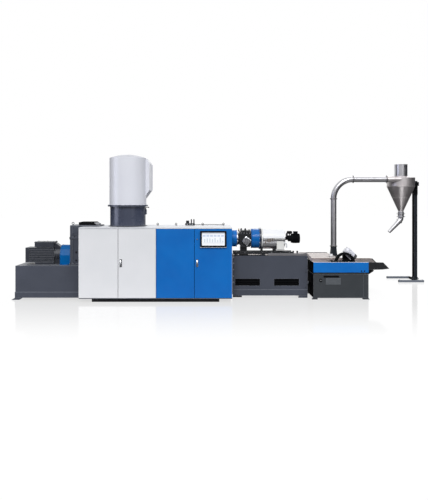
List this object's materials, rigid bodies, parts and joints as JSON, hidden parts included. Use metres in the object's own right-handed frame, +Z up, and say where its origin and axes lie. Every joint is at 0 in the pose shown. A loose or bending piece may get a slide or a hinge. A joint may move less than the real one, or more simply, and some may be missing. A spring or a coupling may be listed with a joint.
{
  "type": "plastic pelletizing machine",
  "caption": "Plastic recycling line: compactor and extruder cabinet, water ring pelletizer, dewatering sieve, blower, conveying pipe and cyclone.",
  "frame": {"origin": "on the floor under the middle of the cabinet, below the extruder's axis", "axes": "+X along the line towards the cyclone, +Y away from the operator's side, +Z up"},
  "size_m": [10.91, 4.075, 3.494],
  "materials": {
    "white_paint": "smooth satin powder coat, light grey white",
    "blue_paint": "smooth satin powder coat, strong blue",
    "navy_paint": "gloss paint, dark blue",
    "grey_paint": "fine textured powder coat, dark slate grey",
    "tank_paint": "fine textured powder coat, dark grey",
    "trim_paint": "satin light grey",
    "plinth_paint": "matt black",
    "black_paint": "semi gloss black",
    "stainless": "brushed stainless steel",
    "machined_steel": "turned and ground steel",
    "cast_aluminium": "sand cast and silver painted aluminium",
    "black_plastic": "moulded black plastic",
    "screen_glass": "display glass over a pale screen",
    "rubber": "moulded rubber"
  },
  "bodies": {
    "frame": {"arch_bracket": "black_paint", "barrel_collar": "stainless", "barrel_guard": "blue_paint", "blower_housing": "grey_paint", "blower_motor": "grey_paint", "cabinet_back_wall": "white_paint", "cabinet_floor": "trim_paint", "cabinet_left_wall": "white_paint", "cabinet_plinth": "plinth_paint", "cabinet_right_wall": "blue_paint", "cabinet_roof": "trim_paint", "compactor_drum": "grey_paint", "coupling_guard": "blue_paint", "cyclone_body": "stainless", "cyclone_exhaust": "stainless", "die_bell": "blue_paint", "die_flange": "navy_paint", "drip_tray": "stainless", "extruder_barrel": "machined_steel", "extruder_bed": "grey_paint", "feed_chute": "white_paint", "gearbox_housing": "grey_paint", "hood_roof": "white_paint", "hood_shell": "white_paint", "level_pipe": "stainless", "main_motor": "grey_paint", "motor_base": "grey_paint", "outlet_transition": "grey_paint", "outlet_valve": "stainless", "pelletizer_base": "grey_paint", "pipe_elbow": "stainless", "riser_pipe": "stainless", "roof_valve_block": "machined_steel", "screen_changer": "black_paint", "screen_changer_block": "cast_aluminium", "sieve_deck": "stainless", "sieve_front_board": "blue_paint", "sieve_rubber_mounts": "rubber", "sieve_spout": "tank_paint", "sieve_tank": "tank_paint", "slide_rails": "black_paint", "stand_post": "grey_paint", "suction_duct": "stainless", "vibration_motor": "cast_aluminium", "water_tank": "tank_paint", "water_tank_cover": "stainless"},
    "white_door_left": {"white_door_left": "white_paint"},
    "white_door_right": {"white_door_right": "white_paint", "white_door_handle": "black_plastic"},
    "blue_door_left": {"blue_door_left": "blue_paint"},
    "blue_door_right": {"blue_door_right": "blue_paint", "blue_door_handle": "machined_steel", "touch_panel_housing": "black_plastic", "touch_panel_screen": "screen_glass"},
    "cutter_carriage": {"cutter_chamber": "cast_aluminium", "carriage_legs": "black_paint", "cutter_motor": "black_paint"}
  },
  "joints": [
    {"name": "white_door_left_hinge", "type": "hinge", "parent": "frame", "child": "white_door_left", "pos_m": [-1.765, -0.79, 0.903], "axis": [0, 0, -1], "range_deg": [0, 110]},
    {"name": "white_door_right_hinge", "type": "hinge", "parent": "frame", "child": "white_door_right", "pos_m": [-0.009, -0.79, 0.903], "axis": [0, 0, 1], "range_deg": [0, 90]},
    {"name": "blue_door_left_hinge", "type": "hinge", "parent": "frame", "child": "blue_door_left", "pos_m": [0.041, -0.79, 0.903], "axis": [0, 0, -1], "range_deg": [0, 90]},
    {"name": "blue_door_right_hinge", "type": "hinge", "parent": "frame", "child": "blue_door_right", "pos_m": [1.765, -0.79, 0.903], "axis": [0, 0, 1], "range_deg": [0, 110]},
    {"name": "cutter_slide", "type": "slide", "parent": "frame", "child": "cutter_carriage", "axis": [1, 0, 0], "range_m": [0, 0.3]}
  ]
}
